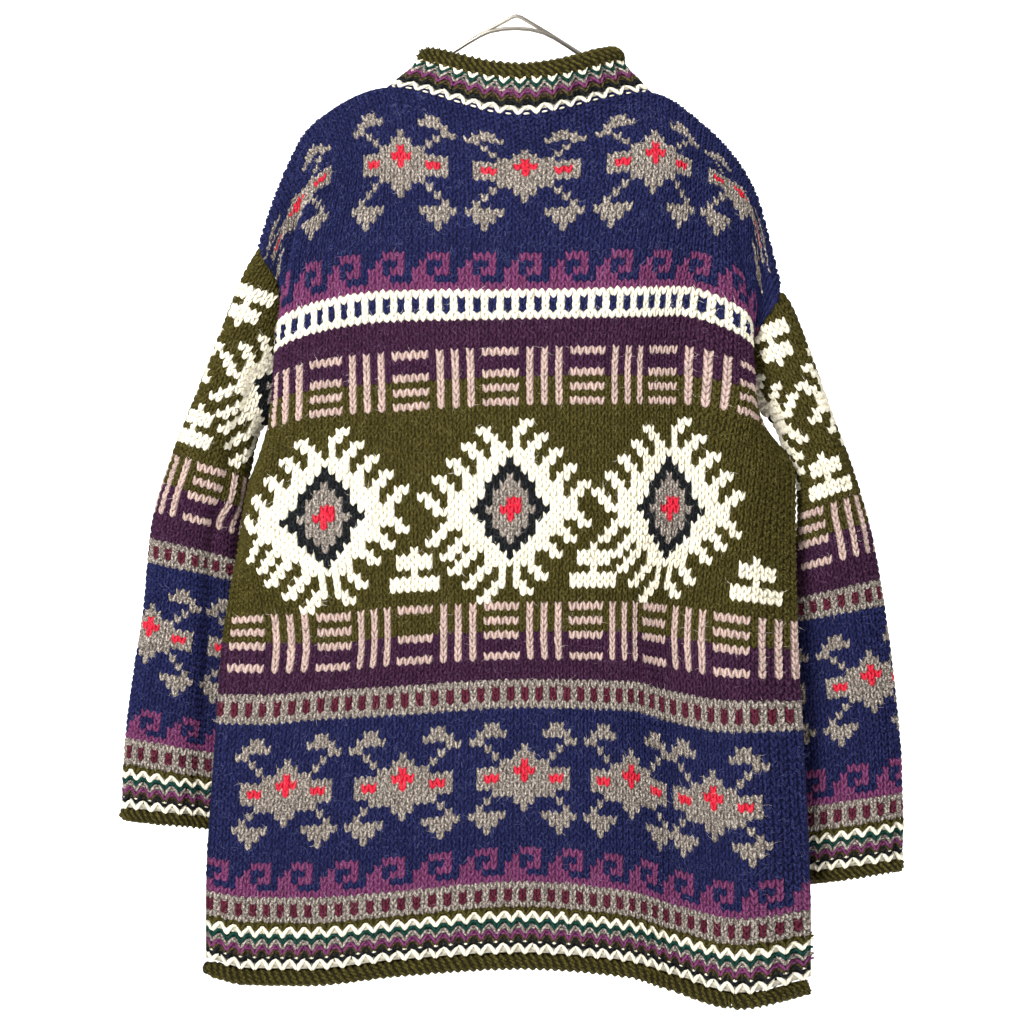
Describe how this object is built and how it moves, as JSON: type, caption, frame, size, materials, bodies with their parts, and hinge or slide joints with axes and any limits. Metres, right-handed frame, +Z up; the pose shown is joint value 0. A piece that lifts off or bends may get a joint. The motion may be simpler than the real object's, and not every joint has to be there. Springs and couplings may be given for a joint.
{
  "type": "knitted pullover on a wire hanger",
  "caption": "Loose hand-knitted wool pullover with rolled collar, hem and cuffs, hanging flat on a steel wire hanger, seen from its back.",
  "frame": {"origin": "the peak of the hanger's wire, where the hanger hangs", "axes": "+Z up, -Y out of the pullover's back, which the picture shows, +X to the right in that view"},
  "size_m": [0.6418, 0.1217, 0.8005],
  "materials": {
    "navy": "navy wool, hand knit",
    "purple": "plum wool, hand knit",
    "olive": "olive wool, ribbed and rolled edges",
    "grey": "grey heather wool, ribbed",
    "steel": "bright wire"
  },
  "bodies": {
    "root": {"back_panel": "navy", "front_panel": "purple", "sleeve_left": "navy", "sleeve_right": "navy", "hem_rib_back": "olive", "hem_rib_front": "olive", "hem_roll": "olive", "cuff_rib_left": "olive", "cuff_rib_right": "olive", "cuff_roll_left": "olive", "cuff_roll_right": "olive", "collar_rib": "grey", "collar_roll": "olive", "hanger_rod": "steel", "hanger_arch": "steel"}
  },
  "joints": []
}
